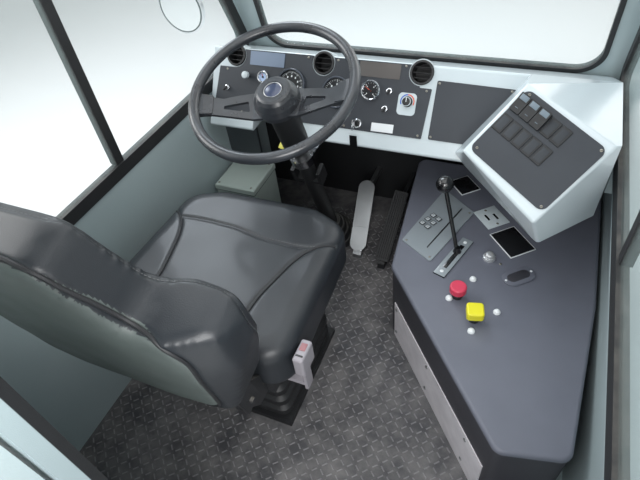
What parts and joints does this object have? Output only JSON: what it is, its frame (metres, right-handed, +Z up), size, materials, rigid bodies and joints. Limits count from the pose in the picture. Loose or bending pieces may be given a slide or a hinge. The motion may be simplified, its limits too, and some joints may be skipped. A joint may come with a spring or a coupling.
{
  "type": "terminal tractor cab",
  "caption": "Hollow cab of a terminal tractor: rear sliding door, windows, sloped dash with gauges, tilted steering wheel, side console, pedals, driver's seat and mirrors.",
  "frame": {"origin": "middle of the bounding box, at the underside of the base frame", "axes": "+X to the driver's right, +Y forward, +Z up; rear door open, seat in mid travel"},
  "size_m": [1.922, 1.7229, 1.7438],
  "materials": {
    "black_panel": "fine satin",
    "cab_paint": "satin pale blue-grey",
    "chrome": "polished",
    "console_grey": "satin",
    "dark_plastic": "satin",
    "frame_paint": "semi-gloss black",
    "glass": "clear",
    "knob_red": "satin",
    "knob_yellow": "satin",
    "mat": "matte, dusty",
    "panel_grey": "satin",
    "rubber": "matte",
    "skirt_metal": "worn satin",
    "steel": "bare",
    "vinyl": "satin vinyl",
    "wheel_black": "glossy",
    "white_gloss": "glossy moulded"
  },
  "bodies": {
    "cab": {"accelerator": "dark_plastic", "base_frame": "frame_paint", "brake_treadle": "steel", "column_boot": "rubber", "column_bracket": "chrome", "console_body": "dark_plastic", "console_cover": "console_grey", "console_fittings": "dark_plastic", "console_skirt": "skirt_metal", "dash_body": "white_gloss", "dash_gauges": "black_panel", "dash_switches": "chrome", "dash_vents": "dark_plastic", "door_tracks": "steel", "doorway_seal": "rubber", "firewall_liner": "dark_plastic", "floor_mat": "mat", "floor_pan": "frame_paint", "front_wall": "cab_paint", "grab_handle": "frame_paint", "heater_control": "dark_plastic", "instrument_panel": "black_panel", "kick_panel": "dark_plastic", "lamp_strips": "black_panel", "left_mirror": "chrome", "left_wall": "cab_paint", "park_knob": "knob_red", "pod_panel": "black_panel", "pod_switches": "dark_plastic", "rear_wall": "cab_paint", "rear_window_glass": "glass", "rear_window_seal": "rubber", "relay_box": "panel_grey", "right_mirror": "chrome", "right_wall": "cab_paint", "roof": "cab_paint", "seat_base": "dark_plastic", "shift_lever": "wheel_black", "shift_pad": "steel", "side_window_glass": "glass", "side_window_seals": "rubber", "steering_column": "dark_plastic", "switch_pod": "white_gloss", "trailer_knob": "knob_yellow", "windscreen": "glass", "windscreen_seal": "rubber", "wiper": "dark_plastic"},
    "steering_wheel": {"steering_wheel": "wheel_black"},
    "rear_door": {"door_leaf": "cab_paint", "door_glass": "glass", "door_latch": "chrome"},
    "seat": {"seat_frame": "frame_paint", "seat_cushion": "vinyl", "seat_buckle": "dark_plastic"},
    "seat_back": {"seat_back": "vinyl", "seat_back_frame": "frame_paint"}
  },
  "joints": [
    {"name": "steering", "type": "hinge", "parent": "cab", "child": "steering_wheel", "pos_m": [-0.217, 0.167, 0.9084], "axis": [0, -0.342, 0.9397], "range_deg": [-720, 720]},
    {"name": "rear_door_slide", "type": "slide", "parent": "cab", "child": "rear_door", "axis": [1, 0, 0], "range_m": [0, 0.592]},
    {"name": "seat_slide", "type": "slide", "parent": "cab", "child": "seat", "axis": [0, 1, 0], "range_m": [-0.075, 0.075]},
    {"name": "seat_back_recline", "type": "hinge", "parent": "seat", "child": "seat_back", "pos_m": [-0.246, -0.4675, 0.544], "axis": [1, 0, 0], "range_deg": [-10, 5]}
  ]
}
